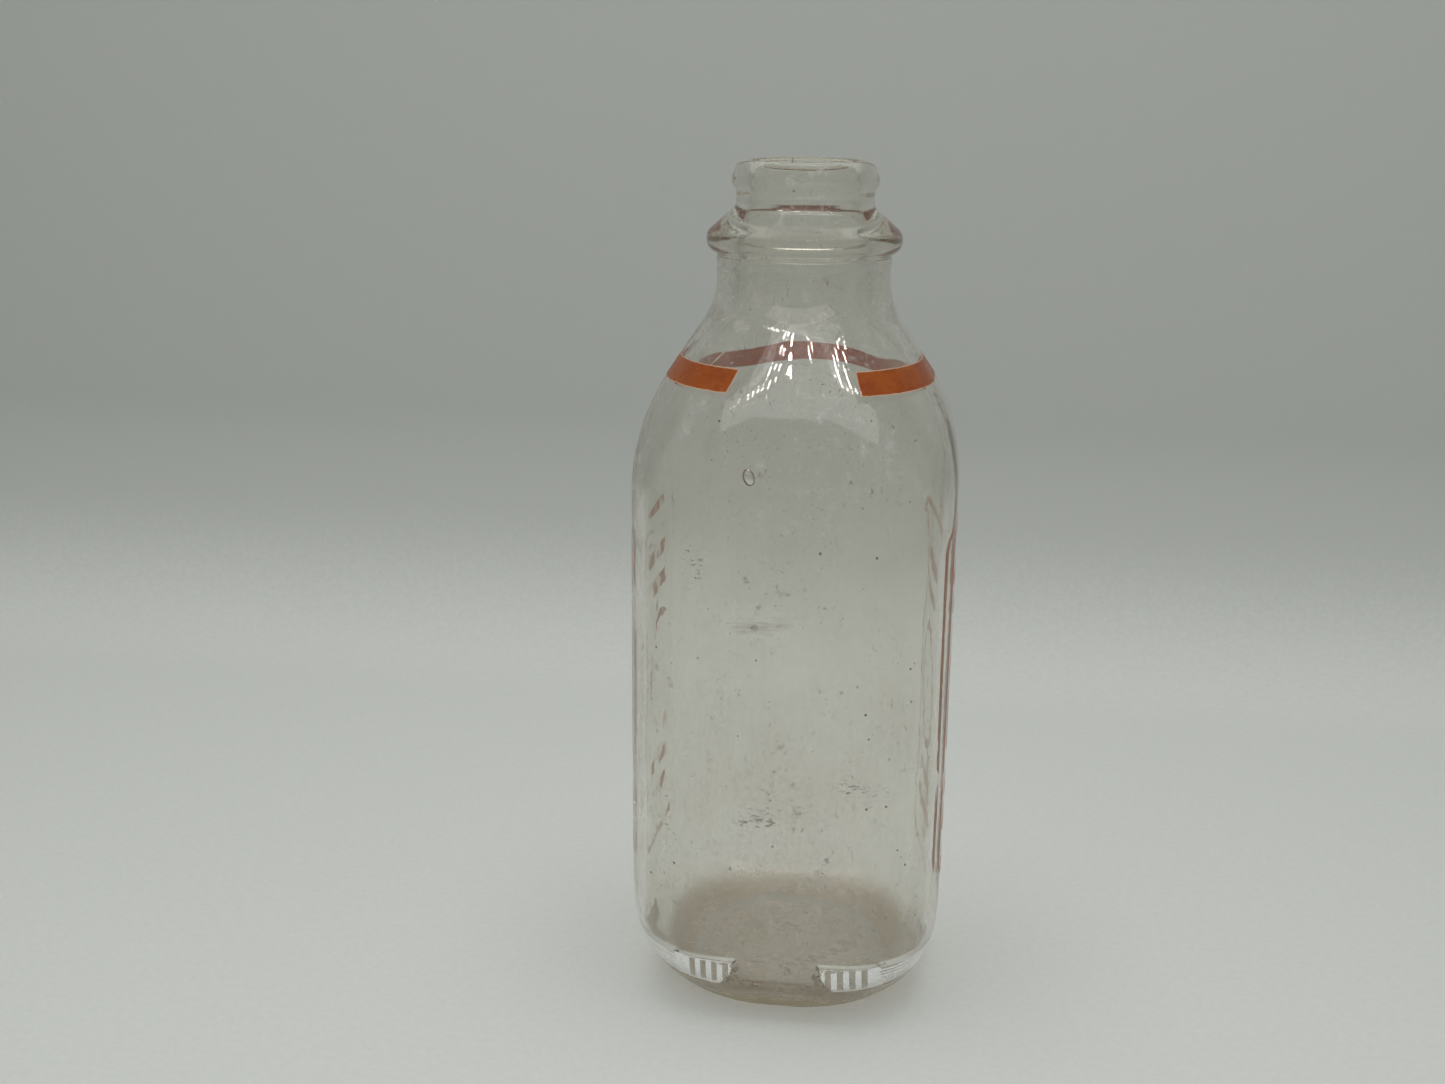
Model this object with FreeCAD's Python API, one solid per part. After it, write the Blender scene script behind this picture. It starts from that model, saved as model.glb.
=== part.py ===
"""Glass milk bottle: a one-quart square bottle of clear glass with fired orange enamel prints.

Millimetres, +Z up, origin at the centre of the foot on the surface that the bottle stands on.
The front face looks along -Y. Every sub-part is written to parts/NAME.step.
"""

import FreeCAD, Part
import math
import os

V = FreeCAD.Vector
UP = V(0, 0, 1)

# Overall size
HEIGHT = 229.0
BODY_HALF = 43.3
BODY_CORNER = 0.59
FACE_CROWN_RADIUS = 336.0

# Heel: a quarter ellipse that ends in an almost round foot
HEEL_HEIGHT = 30.7
HEEL_INSET = 15.1
FOOT_CORNER = 0.92
FOOT_RING_WIDTH = 4.0
PUSH_UP = 1.2
HEEL_TURNS = (0, 12, 25, 38, 52, 70, 90)
SIDE_HEIGHTS = (34, 40, 55, 75, 95, 115, 130, 140)

# Shoulder: a convex arc, a straight slope and a concave arc into the neck
SHOULDER_START = 145.2
SHOULDER_RADIUS = 54.6
SLOPE = math.radians(33.0)
NECK_RADIUS = 22.9
THROAT_RADIUS = 21.4
SHOULDER_SECTIONS = 14

# Neck, collar and rim. A pair is a radius and a height on the outside's profile.
NECK_TOP = 205.2
COLLAR_UNDER = (25.2, 206.6)
COLLAR_MIDDLE = (25.7, 208.9)
COLLAR_OVER = (25.45, 210.6)
COLLAR_EDGE = (24.4, 211.7)
CONE_TOP = (18.4, 216.9)
WAIST = (18.0, 219.3)
BEAD_FOOT = (18.65, 221.9)
BEAD_MIDDLE = (19.3, 224.3)
BEAD_TOP = (18.7, 225.7)
LIP_RADIUS = HEIGHT - BEAD_TOP[1]
BORE_RADIUS = 14.0
BORE_LENGTH = 10.8
BORE_EDGE = 0.8
NECK_INSIDE_TOP = 210.9

# Wall thickness
WALL = 3.4
NECK_WALL = 5.9
FLOOR = 6.6
INNER_HEEL_HEIGHT = 18.0
INNER_FOOT_HALF = 28.8
INNER_FOOT_CORNER = 0.62
DOME_RADIUS = 20.5
DOME_HEIGHT = 0.5

# Enamel
ENAMEL = 0.15
BAND_LOW = 173.2
BAND_HIGH = 178.9
BAND_LEFT_END = (-25.7, -23.6)
BAND_RIGHT_END = (28.3, 28.7)
BAND_JOINT = (235.0, 229.0)
BAND_JOINT_GAP = 0.6
LABEL_LOW = 37.0
LABEL_HIGH = 136.4
LABEL_HALF = 22.4
LABEL_CORNER = 7.0
LABEL_LINE = 2.2
MEDALLION_HALF_WIDTH = 15.0
MEDALLION_HALF_HEIGHT = 18.5
MEDALLION_LINE = 2.6
BAR_HEIGHT = 4.2
BAR_HALF_WIDTHS = (16.0, 12.0)
BAR_CORNER = 1.7
BAR_PITCH = 9.0
BAR_START = 8.0

# A section this near to round is a true circle, split into arcs like the others
CIRCLE_SHARE = 0.99
CIRCLE_SPLIT = math.radians(5.0)

SLOPE_TOP = SHOULDER_START + SHOULDER_RADIUS * math.sin(SLOPE)
SLOPE_TOP_HALF = BODY_HALF - SHOULDER_RADIUS * (1 - math.cos(SLOPE))
THROAT_HALF = NECK_RADIUS + THROAT_RADIUS * (1 - math.cos(SLOPE))
THROAT_LOW = SLOPE_TOP + (SLOPE_TOP_HALF - THROAT_HALF) / math.tan(SLOPE)
THROAT_TOP = THROAT_LOW + THROAT_RADIUS * math.sin(SLOPE)


def smooth(low, high, value):
    """0 below low, 1 above high, and a smooth step between them."""
    t = min(1.0, max(0.0, (value - low) / (high - low)))
    return t * t * (3 - 2 * t)


def half_width(z):
    """Half the width of the outside across the flats at height z, from the foot to the neck."""
    if z < HEEL_HEIGHT:
        drop = (HEEL_HEIGHT - z) / HEEL_HEIGHT
        return BODY_HALF - HEEL_INSET * (1 - math.sqrt(1 - drop * drop))
    if z < SHOULDER_START:
        return BODY_HALF
    if z < SLOPE_TOP:
        rise = z - SHOULDER_START
        return BODY_HALF - SHOULDER_RADIUS + math.sqrt(SHOULDER_RADIUS**2 - rise**2)
    if z < THROAT_LOW:
        return SLOPE_TOP_HALF - (z - SLOPE_TOP) * math.tan(SLOPE)
    if z < THROAT_TOP:
        left = THROAT_TOP - z
        return NECK_RADIUS + THROAT_RADIUS - math.sqrt(THROAT_RADIUS**2 - left**2)
    return NECK_RADIUS


def corner_share(z):
    """Plan corner radius over half width: 1 is a circle."""
    if z < HEEL_HEIGHT:
        drop = (HEEL_HEIGHT - z) / HEEL_HEIGHT
        return BODY_CORNER + (FOOT_CORNER - BODY_CORNER) * drop * drop
    return BODY_CORNER + (1 - BODY_CORNER) * smooth(SHOULDER_START - 4, THROAT_TOP - 6, z)


def wall(z):
    """Wall thickness at height z, above the inner heel."""
    return WALL + (NECK_WALL - WALL) * smooth(SHOULDER_START + 15, THROAT_TOP - 1, z)


def inner_half_width(z):
    """Half the width of the inside across the flats at height z."""
    half = half_width(z) - wall(z)
    top = FLOOR + INNER_HEEL_HEIGHT
    if z < top:
        drop = (top - z) / INNER_HEEL_HEIGHT
        inset = BODY_HALF - WALL - INNER_FOOT_HALF
        half = BODY_HALF - WALL - inset * (1 - math.sqrt(max(0.0, 1 - drop * drop)))
    return half


def inner_corner_share(z):
    """Plan corner radius of the inside over its half width."""
    outside = corner_share(z) * half_width(z)
    share = (outside - wall(z)) / (half_width(z) - wall(z))
    top = FLOOR + INNER_HEEL_HEIGHT
    if z < top:
        drop = (top - z) / INNER_HEEL_HEIGHT
        share = share + (INNER_FOOT_CORNER - share) * drop * drop
    return share


def arc_ends(half, share):
    """Where a section's face arc meets its corner arc, and how far out the corner's middle is."""
    if share > CIRCLE_SHARE:
        return half * math.cos(CIRCLE_SPLIT), half * math.sin(CIRCLE_SPLIT), half / math.sqrt(2)
    radius = half * share
    crown_centre = half - FACE_CROWN_RADIUS
    b = -2 * crown_centre
    c = crown_centre**2 - (FACE_CROWN_RADIUS - radius) ** 2
    corner_centre = (-b + math.sqrt(b * b - 8 * c)) / 4
    side = math.atan2(corner_centre, corner_centre - crown_centre)
    x = crown_centre + FACE_CROWN_RADIUS * math.cos(side)
    y = FACE_CROWN_RADIUS * math.sin(side)
    return x, y, corner_centre + radius / math.sqrt(2)


def section(z, half, share):
    """Closed wire of four crowned sides and four corner arcs, tangent to each other."""
    x, y, corner = arc_ends(half, share)
    edges = []
    for quarter in range(4):
        turn = FreeCAD.Rotation(UP, 90 * quarter)
        face = [turn.multVec(V(*p, z)) for p in ((x, -y), (half, 0), (x, y))]
        rounded = [turn.multVec(V(*p, z)) for p in ((x, y), (corner, corner), (y, x))]
        edges.append(Part.Arc(*face).toShape())
        edges.append(Part.Arc(*rounded).toShape())
    return Part.Wire(edges)


def heights(low, top, heel_height):
    """Section heights: close together where the walls curve, and further apart on the flat sides."""
    heel = [low + heel_height * (1 - math.cos(math.radians(a))) for a in HEEL_TURNS]
    sides = [z for z in SIDE_HEIGHTS if z > heel[-1] + 2]
    rise = (top - SHOULDER_START) / SHOULDER_SECTIONS
    shoulder = [SHOULDER_START + rise * i for i in range(SHOULDER_SECTIONS + 1)]
    return heel + sides + shoulder


def outside(grow=0.0):
    """The outside of the bottle up to the top of the throat, as a solid."""
    zs = heights(0.0, THROAT_TOP, HEEL_HEIGHT)
    wires = []
    for z in zs:
        half = half_width(z)
        radius = half * corner_share(z) + grow
        wires.append(section(z, half + grow, radius / (half + grow)))
    return Part.makeLoft(wires, True, False)


def inside():
    """The inside of the bottle up to the top of the throat, as a solid."""
    zs = heights(FLOOR, THROAT_TOP, INNER_HEEL_HEIGHT)
    wires = [section(z, inner_half_width(z), inner_corner_share(z)) for z in zs]
    return Part.makeLoft(wires, True, False)


def revolved(edges):
    """Solid of revolution about the bottle's axis of closed edges in the XZ plane."""
    face = Part.Face(Part.Wire(Part.__sortEdges__(edges)))
    return face.revolve(V(0, 0, 0), UP, 360)


def line(a, b):
    return Part.makeLine(V(a[0], 0, a[1]), V(b[0], 0, b[1]))


def arc(a, through, b):
    return Part.Arc(*(V(p[0], 0, p[1]) for p in (a, through, b))).toShape()


def finish():
    """Neck, collar, cap seat and rim: everything above the throat."""
    neck_in = NECK_RADIUS - NECK_WALL
    root = math.sqrt(0.5)
    lip_in = BEAD_TOP[0] - LIP_RADIUS
    lip_over = (lip_in + LIP_RADIUS * root, BEAD_TOP[1] + LIP_RADIUS * root)
    edge = BORE_EDGE * (1 - root)
    bore_top = HEIGHT - BORE_EDGE
    bore_low = (BORE_RADIUS, bore_top - BORE_LENGTH)
    outer = [
        line((NECK_RADIUS, THROAT_TOP), (NECK_RADIUS, NECK_TOP)),
        arc((NECK_RADIUS, NECK_TOP), COLLAR_UNDER, COLLAR_MIDDLE),
        arc(COLLAR_MIDDLE, COLLAR_OVER, COLLAR_EDGE),
        line(COLLAR_EDGE, CONE_TOP),
        arc(CONE_TOP, WAIST, BEAD_FOOT),
        arc(BEAD_FOOT, BEAD_MIDDLE, BEAD_TOP),
        arc(BEAD_TOP, lip_over, (lip_in, HEIGHT)),
        line((lip_in, HEIGHT), (BORE_RADIUS + BORE_EDGE, HEIGHT)),
    ]
    inner = [
        arc(
            (BORE_RADIUS + BORE_EDGE, HEIGHT),
            (BORE_RADIUS + edge, HEIGHT - edge),
            (BORE_RADIUS, bore_top),
        ),
        line((BORE_RADIUS, bore_top), bore_low),
        line(bore_low, (neck_in, NECK_INSIDE_TOP)),
        line((neck_in, NECK_INSIDE_TOP), (neck_in, THROAT_TOP)),
        line((neck_in, THROAT_TOP), (NECK_RADIUS, THROAT_TOP)),
    ]
    return revolved(outer + inner)


def cap(radius, height, base):
    """Spherical cap with its flat side at height base."""
    edges = [
        line((0, base), (radius, base)),
        line((0, base), (0, base + height)),
    ]
    ball = (radius**2 + height**2) / (2 * height)
    mid_x = radius / 2
    mid_z = base + height - ball + math.sqrt(ball**2 - mid_x**2)
    edges.append(arc((0, base + height), (mid_x, mid_z), (radius, base)))
    return revolved(edges)


def glass_bottle(body):
    """One blown piece of glass, open at the mouth, with a slightly raised floor."""
    foot_half = BODY_HALF - HEEL_INSET
    hollow = inside().cut(cap(DOME_RADIUS, DOME_HEIGHT, FLOOR))
    recess = cap(foot_half - FOOT_RING_WIDTH, PUSH_UP, 0.0)
    return body.cut(hollow).cut(recess).fuse(finish())


def sector(starts, stops):
    """Ruled wedge over the band's height. Starts and stops are plan angles at its low and high edge."""
    steps = 24
    wires = []
    for z, start, stop in zip((BAND_LOW, BAND_HIGH), starts, stops):
        rim = [plan_point(start + (stop - start) * i / steps, z) for i in range(steps + 1)]
        wires.append(Part.makePolygon([V(0, 0, z)] + rim + [V(0, 0, z)]))
    return Part.makeLoft(wires, True, True)


def plan_point(angle, z):
    """Point well outside the bottle at a plan angle in degrees, from the front towards the right side."""
    turned = math.radians(angle)
    reach = 2 * BODY_HALF
    return V(reach * math.sin(turned), -reach * math.cos(turned), z)


def shoulder_band(skin, starts, stops):
    """A length of the enamel band round the shoulder."""
    return skin.common(sector(starts, stops))


def rounded_panel(half, low, high, radius):
    """Rounded rectangle in the YZ plane, as a face."""
    points = [V(0, y, z) for y, z in ((-half, low), (half, low), (half, high), (-half, high))]
    bulge = radius * (1 - math.sqrt(0.5))
    edges = []
    for i, corner in enumerate(points):
        after = points[(i + 1) % 4]
        along = (after - corner).normalize()
        back = (points[i - 1] - corner).normalize()
        start = corner + back * radius
        end = corner + along * radius
        edges.append(Part.Arc(start, corner + (along + back) * bulge, end).toShape())
        edges.append(Part.makeLine(end, after - along * radius))
    return Part.Face(Part.Wire(Part.__sortEdges__(edges)))


def oval(half_width_y, half_height, middle):
    """Ellipse in the YZ plane, as a face."""
    ellipse = Part.Ellipse(
        V(0, 0, middle + half_height), V(0, half_width_y, middle), V(0, 0, middle)
    )
    return Part.Face(Part.Wire(ellipse.toShape()))


def on_side(skin, outline, side):
    """The part of the skin that an outline covers on the right (+1) or left (-1) face."""
    return skin.common(outline.extrude(V(side * 2 * BODY_HALF, 0, 0)))


def label_border(skin, side):
    outer = rounded_panel(LABEL_HALF, LABEL_LOW, LABEL_HIGH, LABEL_CORNER)
    inner = rounded_panel(
        LABEL_HALF - LABEL_LINE,
        LABEL_LOW + LABEL_LINE,
        LABEL_HIGH - LABEL_LINE,
        LABEL_CORNER - LABEL_LINE,
    )
    return on_side(skin, outer.cut(inner), side)


def label_medallion(skin, side):
    middle = (LABEL_LOW + LABEL_HIGH) / 2
    outer = oval(MEDALLION_HALF_WIDTH, MEDALLION_HALF_HEIGHT, middle)
    inner = oval(
        MEDALLION_HALF_WIDTH - MEDALLION_LINE,
        MEDALLION_HALF_HEIGHT - MEDALLION_LINE,
        middle,
    )
    return on_side(skin, outer.cut(inner), side)


def label_bars(skin, side):
    """Plain bars above and below the medallion."""
    middle = (LABEL_LOW + LABEL_HIGH) / 2
    count = len(BAR_HALF_WIDTHS)
    bars = []
    for i, half in enumerate(BAR_HALF_WIDTHS):
        offset = MEDALLION_HALF_HEIGHT + BAR_START + BAR_PITCH * (count - 1 - i)
        for centre in (middle - offset, middle + offset):
            low = centre - BAR_HEIGHT / 2
            bars.append(on_side(skin, rounded_panel(half, low, low + BAR_HEIGHT, BAR_CORNER), side))
    return Part.makeCompound(bars)


def one_shape(shape):
    """The shape as one solid, or as a compound of its solids."""
    solids = shape.Solids
    return solids[0] if len(solids) == 1 else Part.makeCompound(solids)


def main():
    os.makedirs("parts", exist_ok=True)
    body = outside()
    skin = outside(ENAMEL).cut(body)
    parts = {"glass_bottle": glass_bottle(body)}
    left_starts = [angle + BAND_JOINT_GAP for angle in BAND_JOINT]
    left_stops = [angle + 360 for angle in BAND_LEFT_END]
    right_stops = [angle - BAND_JOINT_GAP for angle in BAND_JOINT]
    parts["shoulder_band_left"] = shoulder_band(skin, left_starts, left_stops)
    parts["shoulder_band_right"] = shoulder_band(skin, BAND_RIGHT_END, right_stops)
    for name, side in (("right", 1), ("left", -1)):
        parts[f"label_{name}_border"] = label_border(skin, side)
        parts[f"label_{name}_medallion"] = label_medallion(skin, side)
        parts[f"label_{name}_bars"] = label_bars(skin, side)
    for name, shape in parts.items():
        made = one_shape(shape)
        print(name, len(made.Solids), "solids, valid", made.isValid(), "mm3", round(made.Volume, 1))
        made.exportStep(f"parts/{name}.step")


main()
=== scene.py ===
"""The glass milk bottle's looks: fine glass, fired enamel, worn labels, embossing and wear.

Lengths in the profile are millimetres, as in the CAD source, and MM turns them into metres.
"""

import bpy
import bmesh
import math
import random
from mathutils import Matrix, Vector, noise


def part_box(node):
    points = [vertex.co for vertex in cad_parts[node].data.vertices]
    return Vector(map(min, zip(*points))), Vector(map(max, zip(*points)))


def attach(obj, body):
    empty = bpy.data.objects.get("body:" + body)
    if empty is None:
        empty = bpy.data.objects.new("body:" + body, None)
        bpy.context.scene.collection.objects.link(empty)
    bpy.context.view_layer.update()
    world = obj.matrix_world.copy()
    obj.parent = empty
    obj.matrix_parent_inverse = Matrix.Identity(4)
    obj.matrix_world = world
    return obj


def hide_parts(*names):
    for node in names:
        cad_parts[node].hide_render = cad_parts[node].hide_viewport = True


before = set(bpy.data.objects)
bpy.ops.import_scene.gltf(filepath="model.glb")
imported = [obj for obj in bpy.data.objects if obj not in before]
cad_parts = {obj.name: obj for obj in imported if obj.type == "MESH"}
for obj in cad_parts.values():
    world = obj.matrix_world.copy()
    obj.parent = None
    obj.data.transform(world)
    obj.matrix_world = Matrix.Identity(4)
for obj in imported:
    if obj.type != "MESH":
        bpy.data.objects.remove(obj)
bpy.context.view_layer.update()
MM = 0.001

# ---- The bottle's driving dimensions, the same as the CAD model's
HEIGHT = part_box("glass_bottle")[1].z / MM
BODY_HALF = 43.3
BODY_CORNER = 0.59
FACE_CROWN_RADIUS = 336.0
HEEL_HEIGHT = 30.7
HEEL_INSET = 15.1
FOOT_CORNER = 0.92
FOOT_RING_WIDTH = 4.0
PUSH_UP = 1.2
SHOULDER_START = 145.2
SHOULDER_RADIUS = 54.6
SLOPE = math.radians(33.0)
NECK_RADIUS = 22.9
THROAT_RADIUS = 21.4
NECK_TOP = 205.2
COLLAR_UNDER = (25.2, 206.6)
COLLAR_MIDDLE = (25.7, 208.9)
COLLAR_OVER = (25.45, 210.6)
COLLAR_EDGE = (24.4, 211.7)
CONE_TOP = (18.4, 216.9)
WAIST = (18.0, 219.3)
BEAD_FOOT = (18.65, 221.9)
BEAD_MIDDLE = (19.3, 224.3)
BEAD_TOP = (18.7, 225.7)
BORE_RADIUS = 14.0
BORE_LENGTH = 10.8
BORE_EDGE = 0.8
NECK_INSIDE_TOP = 210.9
WALL = 3.4
NECK_WALL = 5.9
FLOOR = 6.6
INNER_HEEL_HEIGHT = 18.0
INNER_FOOT_HALF = 28.8
INNER_FOOT_CORNER = 0.62
DOME_RADIUS = 20.5
DOME_HEIGHT = 0.5
DOME_FLAT = 4.0
FOOT_EDGE = 1.0
BAND_LOW = 173.2
BAND_HIGH = 178.9
BAND_LEFT_END = (-25.7, -23.6)
BAND_RIGHT_END = (28.3, 28.7)
BAND_JOINT = (235.0, 229.0)
BAND_JOINT_GAP = 0.6
LABEL_LOW = 37.0
LABEL_HIGH = 136.4
LABEL_HALF = 22.4
LABEL_CORNER = 7.0
LABEL_LINE = 2.2
MEDALLION_HALF_WIDTH = 15.0
MEDALLION_HALF_HEIGHT = 18.5
MEDALLION_LINE = 2.6
BAR_HEIGHT = 4.2
BAR_HALF_WIDTHS = (16.0, 12.0)
BAR_CORNER = 1.7
BAR_START = 8.0
BAR_PITCH = 9.0

SLOPE_TOP = SHOULDER_START + SHOULDER_RADIUS * math.sin(SLOPE)
SLOPE_TOP_HALF = BODY_HALF - SHOULDER_RADIUS * (1 - math.cos(SLOPE))
THROAT_HALF = NECK_RADIUS + THROAT_RADIUS * (1 - math.cos(SLOPE))
THROAT_LOW = SLOPE_TOP + (SLOPE_TOP_HALF - THROAT_HALF) / math.tan(SLOPE)
THROAT_TOP = THROAT_LOW + THROAT_RADIUS * math.sin(SLOPE)
ROUNDING = (SHOULDER_START - 4, THROAT_TOP - 6)
THICKENING = (SHOULDER_START + 15, THROAT_TOP - 1)

# ---- How finely things are meshed, in mm or degrees
COLUMNS = 240
UNDERSIDE_RINGS = 44
HEEL_RINGS = 34
SIDE_RINGS = 34
SHOULDER_RINGS = 44
INNER_SHOULDER_RINGS = 34
INNER_SIDE_RINGS = 28
INNER_HEEL_RINGS = 24
INNER_FLOOR_RINGS = 20
FINISH_STEP = 0.7
FINISH_BLUR = 0.6
RIB_CUTS = 3
ENAMEL_OUT = 0.06
ENAMEL_IN = -0.05
BAND_STEP = 0.45
BAND_RISE = 0.36
LABEL_STEP = 0.36

# ---- Relief and marks, in mm. A plan angle is in degrees from the middle of the front face towards the right.
RIB_ROWS = ((-23.0, -8.0, 6), (-1.5, 24.0, 9))
RIB_LOW = 12.6
RIB_HIGH = 17.6
RIB_HALF_WIDTH = 0.6
RIB_SLOPE = 0.45
RIB_MARGIN = 2.0
RIB_REACH_IN = 1.5
RIB_RAISE = 0.06
WAVE_FROM = (1.5, -15.5)
WAVE_TO = (21.0, 7.0)
WAVE_LENGTH = 4.4
WAVE_REACH = 1.5
WAVE_DEPTH = 0.34
MOTTLE_DEPTH = 0.26
SEAM_HEIGHT = 203.4
SEAM_RAISE = 0.22
SEAM_HALF_WIDTH = 0.55
RIPPLE = 0.04
RIPPLE_LOST = (140, 160, 0.03)
DRAWN = (SHOULDER_START - 25, SHOULDER_START + 20)
BUBBLE = (-12.2, 153.9)
BUBBLE_DEPTH = 1.7
BUBBLE_TILT = 0.35
BUBBLE_SIZE = (1.5, 2.2, 0.75)
SEED_COUNT = 26
SEED_HEIGHTS = (40, 165)
SEED_DEPTHS = (1.2, 2.2)
SEED_SIZES = (0.25, 0.6)

# ---- Marks on the front face, in mm: x and height of the middle, half width and half height
DASHES = ((-4.0, 62.0, 10.0, 3.4), (22.0, 71.6, 9.0, 2.2), (-23.0, 131.0, 4.0, 9.0), (-33.0, 60.0, 5.0, 30.0))
SMUDGE = (-5.6, 116.0, 13.0, 3.4)


# ---------------------------------------------------------------- shape of the glass

def smooth(low, high, value):
    """0 below low, 1 above high, and a smooth step between them."""
    t = min(1.0, max(0.0, (value - low) / (high - low)))
    return t * t * (3 - 2 * t)


def half_width(z):
    """Half the width of the outside across the flats at height z, up to the neck."""
    if z < HEEL_HEIGHT:
        drop = (HEEL_HEIGHT - z) / HEEL_HEIGHT
        return BODY_HALF - HEEL_INSET * (1 - math.sqrt(max(0.0, 1 - drop * drop)))
    if z < SHOULDER_START:
        return BODY_HALF
    if z < SLOPE_TOP:
        rise = z - SHOULDER_START
        return BODY_HALF - SHOULDER_RADIUS + math.sqrt(SHOULDER_RADIUS**2 - rise**2)
    if z < THROAT_LOW:
        return SLOPE_TOP_HALF - (z - SLOPE_TOP) * math.tan(SLOPE)
    if z < THROAT_TOP:
        left = THROAT_TOP - z
        return NECK_RADIUS + THROAT_RADIUS - math.sqrt(THROAT_RADIUS**2 - left**2)
    return NECK_RADIUS


def corner_share(z):
    """Plan corner radius over half width: 1 is a circle."""
    if z < HEEL_HEIGHT:
        drop = (HEEL_HEIGHT - z) / HEEL_HEIGHT
        return BODY_CORNER + (FOOT_CORNER - BODY_CORNER) * drop * drop
    return BODY_CORNER + (1 - BODY_CORNER) * smooth(*ROUNDING, z)


def wall(z):
    """Wall thickness at height z, above the inner heel."""
    return WALL + (NECK_WALL - WALL) * smooth(*THICKENING, z)


def inner_half_width(z):
    """Half the width of the inside across the flats at height z."""
    top = FLOOR + INNER_HEEL_HEIGHT
    if z < top:
        drop = (top - z) / INNER_HEEL_HEIGHT
        inset = BODY_HALF - WALL - INNER_FOOT_HALF
        return BODY_HALF - WALL - inset * (1 - math.sqrt(max(0.0, 1 - drop * drop)))
    return half_width(z) - wall(z)


def inner_corner_share(z):
    """Plan corner radius of the inside over its half width."""
    outside = corner_share(z) * half_width(z)
    share = (outside - wall(z)) / (half_width(z) - wall(z))
    top = FLOOR + INNER_HEEL_HEIGHT
    if z < top:
        drop = (top - z) / INNER_HEEL_HEIGHT
        share = share + (INNER_FOOT_CORNER - share) * drop * drop
    return share


def reach(half, share, angle):
    """Distance from the axis to a crowned, round-cornered square at a plan angle from the right face."""
    if share > 0.995 or half < 1e-6:
        return half
    radius = half * share
    centre = half - FACE_CROWN_RADIUS
    b = -2 * centre
    c = centre**2 - (FACE_CROWN_RADIUS - radius) ** 2
    middle = (-b + math.sqrt(b * b - 8 * c)) / 4
    side = math.atan2(middle, middle - centre)
    local = (angle + math.pi / 4) % (math.pi / 2) - math.pi / 4
    meet = math.atan2(FACE_CROWN_RADIUS * math.sin(side), centre + FACE_CROWN_RADIUS * math.cos(side))
    if abs(local) <= meet:
        along = math.cos(local) * centre
        return along + math.sqrt(along**2 - centre**2 + FACE_CROWN_RADIUS**2)
    along = (math.cos(local) + abs(math.sin(local))) * middle
    return along + math.sqrt(along**2 - 2 * middle**2 + radius**2)


def arc_points(centre, radius, start, stop, count):
    """Points of an arc in the profile plane, angles in degrees."""
    angles = [math.radians(start + (stop - start) * i / count) for i in range(count + 1)]
    return [(centre[0] + radius * math.cos(a), centre[1] + radius * math.sin(a)) for a in angles]


def through(a, b, c, count):
    """Points of the arc from a through b to c in the profile plane."""
    d = 2 * (a[0] * (b[1] - c[1]) + b[0] * (c[1] - a[1]) + c[0] * (a[1] - b[1]))
    squares = [p[0] ** 2 + p[1] ** 2 for p in (a, b, c)]
    x = (squares[0] * (b[1] - c[1]) + squares[1] * (c[1] - a[1]) + squares[2] * (a[1] - b[1])) / d
    y = (squares[0] * (c[0] - b[0]) + squares[1] * (a[0] - c[0]) + squares[2] * (b[0] - a[0])) / d
    start, middle, stop = (math.degrees(math.atan2(p[1] - y, p[0] - x)) for p in (a, b, c))
    while middle - start > 180:
        middle -= 360
    while start - middle > 180:
        middle += 360
    while stop - middle > 180:
        stop -= 360
    while middle - stop > 180:
        stop += 360
    return arc_points((x, y), math.hypot(a[0] - x, a[1] - y), start, stop, count)


def finish_profile():
    """Outside and inside of the neck, collar and rim, from the throat up and back down into the neck."""
    neck_in = NECK_RADIUS - NECK_WALL
    root = math.sqrt(0.5)
    lip = HEIGHT - BEAD_TOP[1]
    lip_in = BEAD_TOP[0] - lip
    lip_over = (lip_in + lip * root, BEAD_TOP[1] + lip * root)
    edge = BORE_EDGE * (1 - root)
    bore_top = HEIGHT - BORE_EDGE
    stretches = [
        [(NECK_RADIUS, THROAT_TOP), (NECK_RADIUS, NECK_TOP)],
        through((NECK_RADIUS, NECK_TOP), COLLAR_UNDER, COLLAR_MIDDLE, 12),
        through(COLLAR_MIDDLE, COLLAR_OVER, COLLAR_EDGE, 8),
        [COLLAR_EDGE, CONE_TOP],
        through(CONE_TOP, WAIST, BEAD_FOOT, 10),
        through(BEAD_FOOT, BEAD_MIDDLE, BEAD_TOP, 10),
        through(BEAD_TOP, lip_over, (lip_in, HEIGHT), 12),
        [(lip_in, HEIGHT), (BORE_RADIUS + BORE_EDGE, HEIGHT)],
        through((BORE_RADIUS + BORE_EDGE, HEIGHT), (BORE_RADIUS + edge, HEIGHT - edge),
                (BORE_RADIUS, bore_top), 6),
        [(BORE_RADIUS, bore_top), (BORE_RADIUS, bore_top - BORE_LENGTH)],
        [(BORE_RADIUS, bore_top - BORE_LENGTH), (neck_in, NECK_INSIDE_TOP)],
        [(neck_in, NECK_INSIDE_TOP), (neck_in, THROAT_TOP)],
    ]
    return softened([p for stretch in stretches for p in stretch], FINISH_STEP, FINISH_BLUR)


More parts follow.
